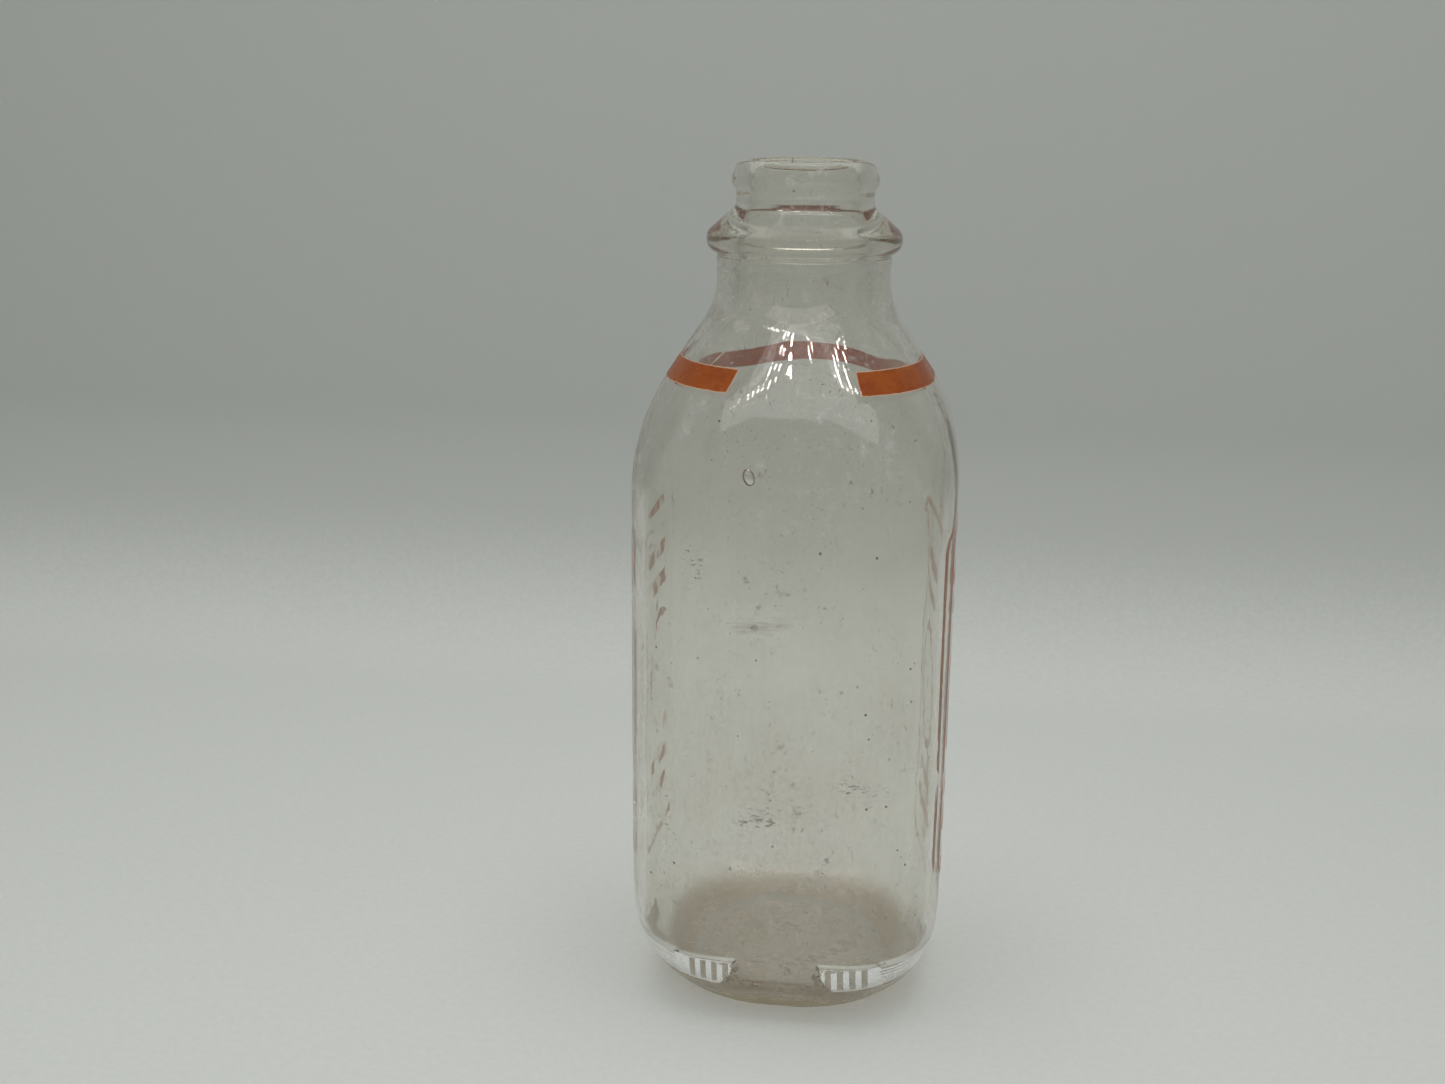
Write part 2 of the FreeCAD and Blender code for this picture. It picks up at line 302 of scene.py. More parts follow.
def softened(points, step, blur):
    """The line resampled every step and its corners rounded over about blur, as fire-polished glass is."""
    fine = [points[0]]
    for a, b in zip(points, points[1:]):
        length = math.dist(a, b)
        count = max(1, round(length / (step / 3)))
        for i in range(1, count + 1):
            if length > 1e-9:
                fine.append((a[0] + (b[0] - a[0]) * i / count, a[1] + (b[1] - a[1]) * i / count))
    along = [0.0]
    for a, b in zip(fine, fine[1:]):
        along.append(along[-1] + math.dist(a, b))
    count = round(along[-1] / step)
    made = []
    for i in range(count + 1):
        at = along[-1] * i / count
        room = min(at, along[-1] - at)
        width = max(1e-6, min(blur, room / 2))
        total, x, z = 0.0, 0.0, 0.0
        for (px, pz), s in zip(fine, along):
            if abs(s - at) < 3 * width + step / 2:
                weight = math.exp(-0.5 * ((s - at) / width) ** 2)
                total, x, z = total + weight, x + weight * px, z + weight * pz
        made.append((x / total, z / total))
    return made


def glass_rings():
    """Every ring of the glass from the middle of the underside to the middle of the inner floor:
    half width, height, corner share and whether it is outside (1) or inside (-1)."""
    foot = BODY_HALF - HEEL_INSET
    recess = foot - FOOT_RING_WIDTH
    rings = []
    for i in range(1, UNDERSIDE_RINGS + 1):
        share = i / UNDERSIDE_RINGS
        rings.append((recess * share, PUSH_UP * (1 - share * share), 1.0, 1))
    rings.append((foot - FOOT_EDGE, 0.0, FOOT_CORNER + 0.02, 1))
    for i in range(HEEL_RINGS + 1):
        z = HEEL_HEIGHT * (1 - math.cos(math.pi / 2 * i / HEEL_RINGS))
        rings.append((half_width(z), z, corner_share(z), 1))
    for low, high, count in ((HEEL_HEIGHT, SHOULDER_START, SIDE_RINGS),
                             (SHOULDER_START, THROAT_TOP, SHOULDER_RINGS)):
        for i in range(1, count + 1):
            z = low + (high - low) * i / count
            rings.append((half_width(z), z, corner_share(z), 1))
    finish = finish_profile()
    top = max(range(len(finish)), key=lambda i: finish[i][1])
    rings += [(r, z, 1.0, 1 if i <= top else -1) for i, (r, z) in enumerate(finish[1:], 1)]
    heel_top = FLOOR + INNER_HEEL_HEIGHT
    for low, high, count in ((SHOULDER_START, THROAT_TOP, INNER_SHOULDER_RINGS),
                             (heel_top, SHOULDER_START, INNER_SIDE_RINGS)):
        for i in range(1, count + 1):
            z = high - (high - low) * i / count
            rings.append((inner_half_width(z), z, inner_corner_share(z), -1))
    for i in range(1, INNER_HEEL_RINGS + 1):
        z = heel_top - INNER_HEEL_HEIGHT * math.sin(math.pi / 2 * i / INNER_HEEL_RINGS)
        rings.append((inner_half_width(z), z, inner_corner_share(z), -1))
    for i in range(1, INNER_FLOOR_RINGS):
        r = INNER_FOOT_HALF * (1 - i / INNER_FLOOR_RINGS)
        z = FLOOR + DOME_HEIGHT * (1 - smooth(DOME_FLAT, DOME_RADIUS, r))
        rings.append((r, z, 1 - (1 - INNER_FOOT_CORNER) * smooth(0, INNER_FOOT_HALF, r), -1))
    return rings


def waver(x, y, z, inner):
    """How far the glass stands off its nominal surface, in mm: faint ripples outside, broader ones inside."""
    if inner:
        drawn = smooth(*DRAWN, z)
        broad = (0.16 + 0.30 * drawn) * noise.noise((x / 17 + 7, y / 17, z / (30 + 60 * drawn)))
        return broad + 0.05 * noise.noise((x / 8, y / 8 + 3, z / 14))
    low, high, lost = RIPPLE_LOST
    return (RIPPLE - lost * smooth(low, high, z)) * noise.noise((x / 15, y / 15 + 11, z / 22))


def underside_relief(x, y):
    """How deep the underside is marked: a plain wavy line and shallow mottling."""
    dx, dy = WAVE_TO[0] - WAVE_FROM[0], WAVE_TO[1] - WAVE_FROM[1]
    length = math.hypot(dx, dy)
    along = ((x - WAVE_FROM[0]) * dx + (y - WAVE_FROM[1]) * dy) / length
    across = ((y - WAVE_FROM[1]) * dx - (x - WAVE_FROM[0]) * dy) / length
    turn = 2 * math.pi / WAVE_LENGTH
    slope = WAVE_REACH * turn * math.cos(turn * along)
    distance = abs(across - WAVE_REACH * math.sin(turn * along)) / math.sqrt(1 + slope * slope)
    ends = smooth(-0.5, 0.5, along) * (1 - smooth(length - 0.5, length + 0.5, along))
    line = (1 - smooth(0.25, 0.75, distance)) * ends
    cloudy = smooth(0.05, 0.35, noise.noise((x / 11 + 3, y / 11, 5)))
    inner = 1 - smooth(17, 22, math.hypot(x, y))
    mottle = cloudy * smooth(0.0, 0.45, noise.noise((x / 3.2, y / 1.7, 9))) * inner
    return WAVE_DEPTH * line + MOTTLE_DEPTH * mottle


def heel_relief(x, z):
    """How proud the rows of short ribs on the front of the heel are at x and height z."""
    distance = 9.0
    for low, high, count in RIB_ROWS:
        pitch = (high - low) / (count - 1)
        nearest = low + pitch * min(count - 1, max(0, round((x - low) / pitch)))
        above = max(0.0, z - RIB_HIGH, RIB_LOW - z)
        distance = min(distance, math.hypot(x - nearest, above))
    return RIB_RAISE * (1 - smooth(RIB_HALF_WIDTH - RIB_SLOPE, RIB_HALF_WIDTH + RIB_SLOPE, distance))


def outside_skin(angle, z):
    """Point on the outside of the glass below the collar and the way out of it there, in mm."""
    span, turn = 0.05, 0.002
    half, share = half_width(z), corner_share(z)
    r = reach(half, share, angle)
    slope = (reach(half, share, angle + turn) - r) / (turn * r)
    rise = (reach(half_width(z + span), corner_share(z + span), angle) - r) / span
    out = Vector((math.cos(angle), math.sin(angle), 0))
    normal = Vector((out.x + out.y * slope, out.y - out.x * slope, -rise)).normalized()
    point = Vector((out.x * r, out.y * r, z))
    return point + normal * (waver(*point, False) * fade(z)), normal


def outside_point(angle, z, offset):
    """Point on the outside of the glass below the collar, offset mm proud of it, in mm."""
    point, normal = outside_skin(angle, z)
    return point + normal * offset


def fade(z):
    """Lets the ripples die out at the foot and under the collar."""
    return smooth(1.0, 12.0, z) * (1 - smooth(THROAT_TOP - 8, THROAT_TOP, z))


def new_object(name, mesh, *materials):
    piece = bpy.data.objects.new(name, mesh)
    bpy.context.scene.collection.objects.link(piece)
    for material in materials:
        mesh.materials.append(material)
    return piece


def glass_ring_points():
    """Every ring's points in mm, with the ripples and relief, in the order of glass_rings."""
    points = []
    for half, z, share, kind in glass_rings():
        for column in range(COLUMNS):
            angle = 2 * math.pi * column / COLUMNS
            r = reach(half, share, angle)
            x, y = r * math.cos(angle), r * math.sin(angle)
            if kind > 0 and half < BODY_HALF - HEEL_INSET - FOOT_RING_WIDTH and z < PUSH_UP + 0.1:
                points.append(Vector((x, y, z + underside_relief(x, y))))
            elif kind > 0 and 1.0 < z < THROAT_TOP:
                points.append(outside_point(angle, z, 0.0))
            elif kind < 0 and z < THROAT_TOP:
                keep = smooth(FLOOR - 2, FLOOR + 5, z) * (1 - smooth(THROAT_TOP - 14, THROAT_TOP, z))
                scale = 1 + waver(x, y, z, True) * keep / max(r, 1.0)
                dip = 0.16 * noise.noise((x / 8, y / 8, 3)) * (1 - keep) if z < FLOOR + 6 else 0.0
                points.append(Vector((x * scale, y * scale, z + dip)))
            elif kind > 0:
                ripple = 0.03 * noise.noise((x / 7, y / 7, z / 5)) * smooth(THROAT_TOP, THROAT_TOP + 4, z)
                wander = SEAM_HEIGHT + 0.7 * noise.noise((x / 9, y / 9, 40))
                seam = SEAM_RAISE * math.exp(-(((z - wander) / SEAM_HALF_WIDTH) ** 2))
                scale = 1 + (ripple * (1 - smooth(HEIGHT - 8, HEIGHT - 3, z)) + seam) / max(r, 1.0)
                points.append(Vector((x * scale, y * scale, z)))
            else:
                points.append(Vector((x, y, z)))
    return points


def frame_at(angle, z, depth):
    """A matrix in mm at a depth inside the outside surface: x along the wall, y up it and z out of it."""
    point, out = outside_skin(angle, z)
    side = Vector((0, 0, 1)).cross(out).normalized()
    turned = Matrix((side, out.cross(side), out)).transposed().to_4x4()
    return Matrix.Translation(point - out * depth) @ turned


def add_bubble(mesh, place, size):
    """A void in the glass: an egg shape whose faces look into it."""
    around, rows = 16, 9
    ends = [mesh.verts.new(place @ Vector((0, 0, z * size[2]))) for z in (1, -1)]
    rings = []
    for row in range(1, rows):
        tilt = math.pi * row / rows
        ring = []
        for i in range(around):
            turn = 2 * math.pi * i / around
            spot = Vector((math.cos(turn) * math.sin(tilt), math.sin(turn) * math.sin(tilt), math.cos(tilt)))
            ring.append(mesh.verts.new(place @ (spot * Vector(size))))
        rings.append(ring)
    for i in range(around):
        k = (i + 1) % around
        mesh.faces.new((ends[0], rings[0][k], rings[0][i]))
        mesh.faces.new((ends[1], rings[-1][i], rings[-1][k]))
        for ring, below in zip(rings, rings[1:]):
            mesh.faces.new((ring[i], ring[k], below[k], below[i]))


def foot_scuff_and_shade(p):
    """How scuffed the foot is from standing on hard shelves, and less so inside its ring. The same mask paints
    the foot and heel dark brown as painted shade, where shade falls under the bottle.
    """
    return (1 - smooth(3.0, 11.0, p.z)) * (1 - 0.35 * (1 - smooth(22, 26, math.hypot(p.x, p.y))))


def etched(p):
    """Dirt in the relief of the underside."""
    if p.z > 4.0 or math.hypot(p.x, p.y) > 24.0:
        return 0.0
    return min(1.0, 3.0 * underside_relief(p.x, p.y))


def patch(p, x, z, half_x, half_z):
    """1 in the middle of an oval patch on the outside of the front face, 0 outside it."""
    if p.y > 4 - BODY_HALF:
        return 0.0
    return 1 - smooth(0.5, 1.0, math.hypot((p.x - x) / half_x, (p.z - z) / half_z))


def dashes(p):
    """Where dried-on dashes sit: two rows low on the front face and a few along its left side."""
    return max(patch(p, *oval) for oval in DASHES)


def smudge(p):
    return patch(p, *SMUDGE)


def near_ribs(p):
    """Whether a point of the glass is near the outside of the front of the heel, at the ribs' height.
    In the heel's corners it also takes in points of the inside: an open fault."""
    if not RIB_LOW - RIB_MARGIN < p.z < RIB_HIGH + RIB_MARGIN:
        return False
    return p.y < 0 and math.hypot(p.x, p.y) > half_width(p.z) - RIB_REACH_IN


def glass_mesh():
    """The whole bottle as one closed surface of rings, finer where the ribs are, and its bubbles."""
    points = glass_ring_points()
    mesh = bmesh.new()
    corners = [mesh.verts.new(p) for p in points]
    count = len(points) // COLUMNS
    for i in range(count - 1):
        for j in range(COLUMNS):
            k = (j + 1) % COLUMNS
            a, b = i * COLUMNS, (i + 1) * COLUMNS
            mesh.faces.new((corners[a + j], corners[a + k], corners[b + k], corners[b + j]))
    under = mesh.verts.new((0, 0, PUSH_UP + underside_relief(0, 0)))
    over = mesh.verts.new((0, 0, FLOOR + DOME_HEIGHT))
    last = (count - 1) * COLUMNS
    for j in range(COLUMNS):
        k = (j + 1) % COLUMNS
        mesh.faces.new((under, corners[k], corners[j]))
        mesh.faces.new((over, corners[last + j], corners[last + k]))
    ribbed = set()
    for face in mesh.faces:
        c = face.calc_center_median()
        if near_ribs(c) and abs(c.x) < RIB_ROWS[1][1] + RIB_MARGIN:
            ribbed.update(face.edges)
    bmesh.ops.subdivide_edges(mesh, edges=list(ribbed), cuts=RIB_CUTS, use_grid_fill=True)
    for v in mesh.verts:
        if near_ribs(v.co):
            v.co = outside_point(math.atan2(v.co.y, v.co.x), v.co.z, heel_relief(v.co.x, v.co.z))
    middle = frame_at(math.radians(BUBBLE[0] - 90), BUBBLE[1], BUBBLE_DEPTH)
    add_bubble(mesh, middle @ Matrix.Rotation(BUBBLE_TILT, 4, "Z"), BUBBLE_SIZE)
    draw = random.Random(5)
    for _ in range(SEED_COUNT):
        angle, z = draw.uniform(0, 2 * math.pi), draw.uniform(*SEED_HEIGHTS)
        long = draw.uniform(*SEED_SIZES)
        add_bubble(mesh, frame_at(angle, z, draw.uniform(*SEED_DEPTHS)), (long * 0.6, long, long * 0.5))
    bmesh.ops.scale(mesh, vec=(MM, MM, MM), verts=mesh.verts)
    made = bpy.data.meshes.new("glass_bottle_fine")
    for face in mesh.faces:
        face.smooth = True
    mesh.to_mesh(made)
    mesh.free()
    for name, amount in (("foot_scuff_and_shade", foot_scuff_and_shade), ("etched", etched), ("dashes", dashes), ("smudge", smudge)):
        values = [amount(v.co / MM) for v in made.vertices]
        made.attributes.new(name, "FLOAT", "POINT").data.foreach_set("value", values)
    return made


# ---------------------------------------------------------------- enamel

def contour_mesh(name, field, columns, rows, place):
    """A closed skin over the part of a grid where the field, in mm, is above zero. place(u, v) gives a
    point on the glass in mm and the way out of it. The attribute "rim" is how far a point is from the
    print's edge."""
    value = [[field(u, v) for v in rows] for u in columns]
    spots, depth, index = [], [], {}

    def corner(i, j):
        key = (i, j)
        if key not in index:
            index[key] = len(spots)
            spots.append((columns[i], rows[j]))
            depth.append(value[i][j])
        return index[key]

    def crossing(i, j, k, l):
        key = (min((i, j), (k, l)), max((i, j), (k, l)))
        if key not in index:
            (i, j), (k, l) = key
            t = min(0.92, max(0.08, value[i][j] / (value[i][j] - value[k][l])))
            index[key] = len(spots)
            spots.append((columns[i] + (columns[k] - columns[i]) * t, rows[j] + (rows[l] - rows[j]) * t))
            depth.append(0.0)
        return index[key]

    cells = []
    for i in range(len(columns) - 1):
        for j in range(len(rows) - 1):
            around = ((i, j), (i + 1, j), (i + 1, j + 1), (i, j + 1))
            cell = []
            for a, b in zip(around, around[1:] + around[:1]):
                inside, next_inside = value[a[0]][a[1]] > 0, value[b[0]][b[1]] > 0
                if inside:
                    cell.append(corner(*a))
                if inside != next_inside:
                    cell.append(crossing(*a, *b))
            if len(cell) > 2:
                cells.append(cell)
    count = len(spots)
    skin = [place(u, v) for u, v in spots]
    points = [p + out * offset for offset in (ENAMEL_OUT, ENAMEL_IN) for p, out in skin]
    faces = [tuple(cell) for cell in cells] + [tuple(i + count for i in reversed(cell)) for cell in cells]
    sides = {(a, b) for cell in cells for a, b in zip(cell, cell[1:] + cell[:1])}
    faces += [(b, a, a + count, b + count) for a, b in sorted(sides) if (b, a) not in sides]
    made = bpy.data.meshes.new(name)
    made.from_pydata([p * MM for p in points], [], faces)
    slots = [0] * len(cells) + [1] * len(cells) + [0] * (len(faces) - 2 * len(cells))
    made.polygons.foreach_set("material_index", slots)
    rim = made.attributes.new("rim", "FLOAT", "POINT")
    for i, d in enumerate(depth):
        rim.data[i].value = d
        rim.data[i + count].value = d
    return made


def steps(low, high, step):
    count = max(2, math.ceil((high - low) / step))
    return [low + (high - low) * i / count for i in range(count + 1)]


def band_mesh(name, starts, stops):
    """A length of the shoulder band between two slanted ends, with a slightly uneven edge."""
    def field(angle, z):
        rise = (z - BAND_LOW) / (BAND_HIGH - BAND_LOW)
        start = starts[0] + (starts[1] - starts[0]) * rise
        stop = stops[0] + (stops[1] - stops[0]) * rise
        per_degree = math.radians(half_width(z))
        uneven = 0.13 * noise.noise((angle / 2.2, z / 1.5, 2)) + 0.05 * noise.noise((angle / 0.6, z / 0.5, 6))
        chipped = 1.0 + 1.5 * noise.noise((angle / 3.0 + 20, z / 2.2, 8))
        return min(z - BAND_LOW, BAND_HIGH - z, (angle - start) * per_degree, (stop - angle) * per_degree,
                   chipped + 0.2) + uneven - 0.05

    columns = steps(min(starts) - 1, max(stops) + 1, BAND_STEP)
    rows = steps(BAND_LOW - 0.3, BAND_HIGH + 0.3, BAND_RISE)
    return contour_mesh(name, field, columns, rows, lambda a, z: outside_skin(math.radians(a - 90), z))


def rounded_box(u, v, half_u, half_v, corner):
    """How far inside a rounded rectangle a point is."""
    du, dv = abs(u) - half_u + corner, abs(v) - half_v + corner
    return corner - math.hypot(max(du, 0), max(dv, 0)) - min(max(du, dv), 0)


def border_field(y, z):
    middle, half = (LABEL_LOW + LABEL_HIGH) / 2, (LABEL_HIGH - LABEL_LOW) / 2
    outer = rounded_box(y, z - middle, LABEL_HALF, half, LABEL_CORNER)
    return min(outer, LABEL_LINE - outer)


def medallion_field(y, z):
    up = z - (LABEL_LOW + LABEL_HIGH) / 2
    share = math.hypot(y / MEDALLION_HALF_WIDTH, up / MEDALLION_HALF_HEIGHT)
    outer = (1 - share) * math.hypot(y, up) / max(share, 0.1)
    return min(outer, MEDALLION_LINE - outer)


def bars_field(y, z):
    up = abs(z - (LABEL_LOW + LABEL_HIGH) / 2)
    count = len(BAR_HALF_WIDTHS)
    best = -9.0
    for i, half in enumerate(BAR_HALF_WIDTHS):
        centre = MEDALLION_HALF_HEIGHT + BAR_START + BAR_PITCH * (count - 1 - i)
        best = max(best, rounded_box(y, up - centre, half, BAR_HEIGHT / 2, BAR_CORNER))
    return best


def label_mesh(name, field, side, wear):
    """What is left of a printed shape on the right (1) or left (-1) face."""
    def worn(y, z):
        inside = field(y, z)
        if inside < -LABEL_STEP * 2:
            return inside
        rubbed = 0.62 - wear + 1.5 * noise.noise((y / 7 + side * 9, z / 15, 1))
        rubbed += 0.8 * noise.noise((y / 1.7, z / 5, side * 4))
        if side < 0:
            rubbed -= 0.9 * smooth(2, 11, -y)
        flaked = 0.45 * noise.noise((y / 0.7, z / 1.3, side * 7))
        return min(inside, rubbed + flaked)

    def place(y, z):
        angle = math.atan2(y, BODY_HALF - y * y / (2 * FACE_CROWN_RADIUS))
        return outside_skin(angle if side > 0 else angle + math.pi, z)

    columns = steps(-LABEL_HALF - 0.4, LABEL_HALF + 0.4, LABEL_STEP)
    rows = steps(LABEL_LOW - 0.4, LABEL_HIGH + 0.4, LABEL_STEP * 1.2)
    return contour_mesh(name, worn, columns, rows, place)


# ---------------------------------------------------------------- materials

def new_material(name):
    """A material with its nodes, its links and its surface shader."""
    material = bpy.data.materials.new(name)
    material.use_nodes = True
    nodes = material.node_tree.nodes
    return material, nodes, material.node_tree.links, nodes["Principled BSDF"]


class Graph:
    """Short calls for the nodes that the materials are made of, over one set of object coordinates in mm."""

    def __init__(self, name):
        self.material, self.nodes, self.links, self.shader = new_material(name)
        self.place = self.nodes.new("ShaderNodeTexCoord").outputs["Object"]

    def stretched(self, x, y, z):
        """Object coordinates measured in x, y and z mm."""
        node = self.nodes.new("ShaderNodeMapping")
        node.inputs["Scale"].default_value = (1 / (x * MM), 1 / (y * MM), 1 / (z * MM))
        self.links.new(self.place, node.inputs["Vector"])
        return node.outputs["Vector"]

    def noise(self, size, detail=4.0, roughness=0.55, distortion=0.0):
        node = self.nodes.new("ShaderNodeTexNoise")
        self.links.new(self.stretched(*size), node.inputs["Vector"])
        node.inputs["Scale"].default_value = 1.0
        node.inputs["Detail"].default_value = detail
        node.inputs["Roughness"].default_value = roughness
        node.inputs["Distortion"].default_value = distortion
        return node.outputs["Fac"]

    def spots(self, cell, radius):
        """1 inside round spots of a radius in mm, one to a cell of so many mm."""
        node = self.nodes.new("ShaderNodeTexVoronoi")
        self.links.new(self.stretched(cell, cell, cell), node.inputs["Vector"])
        node.inputs["Scale"].default_value = 1.0
        return self.ramp(node.outputs["Distance"], radius / cell * 1.25, radius / cell * 0.7)

    def ramp(self, value, low, high, bottom=0.0, top=1.0):
        """The value from low to high made bottom to top, smoothly and within them."""
        node = self.nodes.new("ShaderNodeMapRange")
        node.interpolation_type = "SMOOTHSTEP"
        self.links.new(value, node.inputs["Value"])
        for name, number in (("From Min", low), ("From Max", high), ("To Min", bottom), ("To Max", top)):
            node.inputs[name].default_value = number
        return node.outputs["Result"]

    def rise(self):
        """Height over the floor in metres."""
        node = self.nodes.new("ShaderNodeSeparateXYZ")
        self.links.new(self.place, node.inputs[0])
        return node.outputs["Z"]

    def attribute(self, name):
        node = self.nodes.new("ShaderNodeAttribute")
        node.attribute_name = name
        return node.outputs["Fac"]

    def math(self, kind, a, b):
        node = self.nodes.new("ShaderNodeMath")
        node.operation = kind
        for socket, value in zip(node.inputs, (a, b)):
            if isinstance(value, (int, float)):
                socket.default_value = value
            else:
                self.links.new(value, socket)
        return node.outputs["Value"]

    def mix(self, share, a, b):
        """Colour a where the share is 0 and b where it is 1."""
        node = self.nodes.new("ShaderNodeMix")
        node.data_type = "RGBA"
        self.links.new(share, node.inputs["Factor"])
        for socket, value in ((node.inputs[6], a), (node.inputs[7], b)):
            if isinstance(value, tuple):
                socket.default_value = (*value, 1.0)
            else:
                self.links.new(value, socket)
        return node.outputs[2]

    def bump(self, height, distance, strength=1.0):
        node = self.nodes.new("ShaderNodeBump")
        node.inputs["Distance"].default_value = distance * MM
        node.inputs["Strength"].default_value = strength
        self.links.new(height, node.inputs["Height"])
        self.links.new(node.outputs["Normal"], self.shader.inputs["Normal"])


GLASS_IOR = 1.5
CLEAR = (0.945, 0.94, 0.915)
CLOUDED = (0.915, 0.905, 0.875)
FILMED = (0.88, 0.865, 0.82)
# The foot's colour: real scuffing, darkened to a dark brown as painted shade under the bottle.
SCUFFED_AND_SHADED = (0.53, 0.45, 0.33)
DIRT = (0.16, 0.14, 0.10)
ABSORPTION_COLOR = (0.80, 0.755, 0.65, 1.0)
ABSORPTION_DENSITY = 28.0


def glass_material():
    """Clear glass with a faint warm tint: filmed, streaked, speckled with dirt and scuffed at its foot, where
    it is also painted dark brown as painted shade.
    """
    g = Graph("clear_glass")
    film = g.ramp(g.noise((26, 26, 34), 6, 0.62, 0.4), 0.38, 0.66)
    streaks = g.ramp(g.noise((2.2, 2.2, 40), 5, 0.6), 0.50, 0.76)
    mottle = g.ramp(g.noise((1.5, 1.5, 2.2), 6, 0.72), 0.45, 0.70)
    blotches = g.ramp(g.noise((3.4, 3.4, 4.6), 5, 0.7), 0.56, 0.70)
    flecks = g.ramp(g.noise((0.8, 0.8, 1.3), 2, 0.5), 0.68, 0.75)
    grime = g.math("MULTIPLY", g.math("MAXIMUM", blotches, flecks), film)
    specks = g.math("MULTIPLY", g.math("MAXIMUM", g.spots(8.5, 0.40), g.spots(3.6, 0.16)),
                    g.ramp(g.noise((14, 14, 14), 3), 0.44, 0.56, 0.15, 1.0))
    dried = g.math("MULTIPLY", g.attribute("dashes"), g.ramp(g.noise((2.6, 2.6, 0.9), 3, 0.6), 0.55, 0.62))
    wiped = g.ramp(g.noise((9, 9, 1.6), 4), 0.3, 0.7, 0.1, 0.8)
    dried = g.math("ADD", dried, g.math("MULTIPLY", g.attribute("smudge"), wiped))
    foot_scuff_and_shade = g.attribute("foot_scuff_and_shade")
    g.shader.inputs["IOR"].default_value = GLASS_IOR
    haze = g.math("ADD", g.math("MULTIPLY", film, 0.035), g.math("MULTIPLY", streaks, 0.05))
    haze = g.math("ADD", haze, g.math("MULTIPLY", g.math("MULTIPLY", mottle, film), 0.10))
    haze = g.math("MULTIPLY", haze, g.ramp(g.rise(), 0.075, 0.125, 1.35, 0.3))
    dirt = g.math("ADD", g.math("MULTIPLY", grime, 0.42), g.math("MULTIPLY", specks, 0.6))
    dirt = g.math("ADD", dirt, g.math("MULTIPLY", dried, 0.5))
    dirt = g.math("ADD", dirt, g.math("MULTIPLY", g.attribute("etched"), 0.32))
    veil = g.math("ADD", g.math("ADD", haze, dirt), g.math("MULTIPLY", foot_scuff_and_shade, 0.30))
    g.links.new(g.math("SUBTRACT", 0.99, veil), g.shader.inputs["Transmission Weight"])
    clean = g.mix(g.ramp(g.noise((30, 30, 40), 3), 0.3, 0.7), CLEAR, CLOUDED)
    clean = g.mix(g.math("MULTIPLY", mottle, film), clean, FILMED)
    # At the foot the colour goes to dark brown: partly real scuffing, partly painted shade where shade falls
    # under the bottle.
    scuffed_and_shaded = g.mix(foot_scuff_and_shade, clean, SCUFFED_AND_SHADED)
    g.links.new(g.mix(g.ramp(dirt, 0.06, 0.6), scuffed_and_shaded, DIRT), g.shader.inputs["Base Color"])
    rough = g.math("ADD", g.math("MULTIPLY", film, 0.05), g.math("MULTIPLY", streaks, 0.08))
    rough = g.math("ADD", rough, g.math("MULTIPLY", grime, 0.2))
    worn = g.math("MULTIPLY", foot_scuff_and_shade, g.ramp(g.noise((4, 4, 4), 4), 0.3, 0.7, 0.26, 0.42))
    rough = g.math("MULTIPLY", rough, g.ramp(g.rise(), 0.140, 0.165, 1.0, 0.3))
    g.links.new(g.math("ADD", g.math("ADD", rough, worn), 0.012), g.shader.inputs["Roughness"])
    ripple = g.math("ADD", g.noise((9, 9, 16), 3), g.math("MULTIPLY", g.noise((1.6, 1.6, 2.6), 2), 0.05))
    g.bump(g.math("MULTIPLY", ripple, g.ramp(g.rise(), 0.140, 0.160, 1.0, 0.10)), 0.12, 0.5)
    absorb = g.nodes.new("ShaderNodeVolumeAbsorption")
    absorb.inputs["Color"].default_value = ABSORPTION_COLOR
    absorb.inputs["Density"].default_value = ABSORPTION_DENSITY
    g.links.new(absorb.outputs["Volume"], g.nodes["Material Output"].inputs["Volume"])
    return g.material


def enamel_material(name, bright, deep, pale, rim, worn):
    """Fired enamel: patchy orange, grainy, with a pale rim so many mm wide and thin places from wear."""
    g = Graph(name)
    patches = g.ramp(g.noise((9, 9, 7), 4, 0.6), 0.35, 0.68)
    grain = g.noise((0.5, 0.5, 0.5), 4, 0.7)
    brushed = g.ramp(g.noise((5, 5, 0.8), 4, 0.65), 0.3, 0.75)
    color = g.mix(patches, bright, deep)
    color = g.mix(g.math("MULTIPLY", brushed, 0.35), color, tuple(0.72 * c for c in deep))
    color = g.mix(g.ramp(grain, 0.58, 0.72, 0.0, 0.55), color, tuple(0.45 * c for c in deep))
    color = g.mix(g.ramp(grain, 0.42, 0.30, 0.0, 0.35), color, (0.54, 0.24, 0.10))
    thin = g.ramp(g.noise((2.4, 2.4, 3.4), 5, 0.7), 0.66 - worn, 0.80 - worn, 0.0, 0.75)
    color = g.mix(thin, color, (0.40, 0.27, 0.19))
    edge = g.ramp(g.attribute("rim"), rim, rim * 0.3, 0.0, 0.8)
    g.links.new(g.mix(edge, color, pale), g.shader.inputs["Base Color"])
    g.links.new(g.ramp(grain, 0.3, 0.7, 0.34, 0.58), g.shader.inputs["Roughness"])
    g.shader.inputs["Specular IOR Level"].default_value = 0.3
    g.shader.inputs["Coat Weight"].default_value = 0.35
    g.shader.inputs["Coat Roughness"].default_value = 0.07
    g.bump(g.math("ADD", grain, g.math("MULTIPLY", brushed, 0.5)), 0.05, 0.7)
    return g.material


# ---------------------------------------------------------------- pieces

glass = new_object("glass_bottle_fine", glass_mesh(), glass_material())
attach(glass, "root")
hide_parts("glass_bottle")

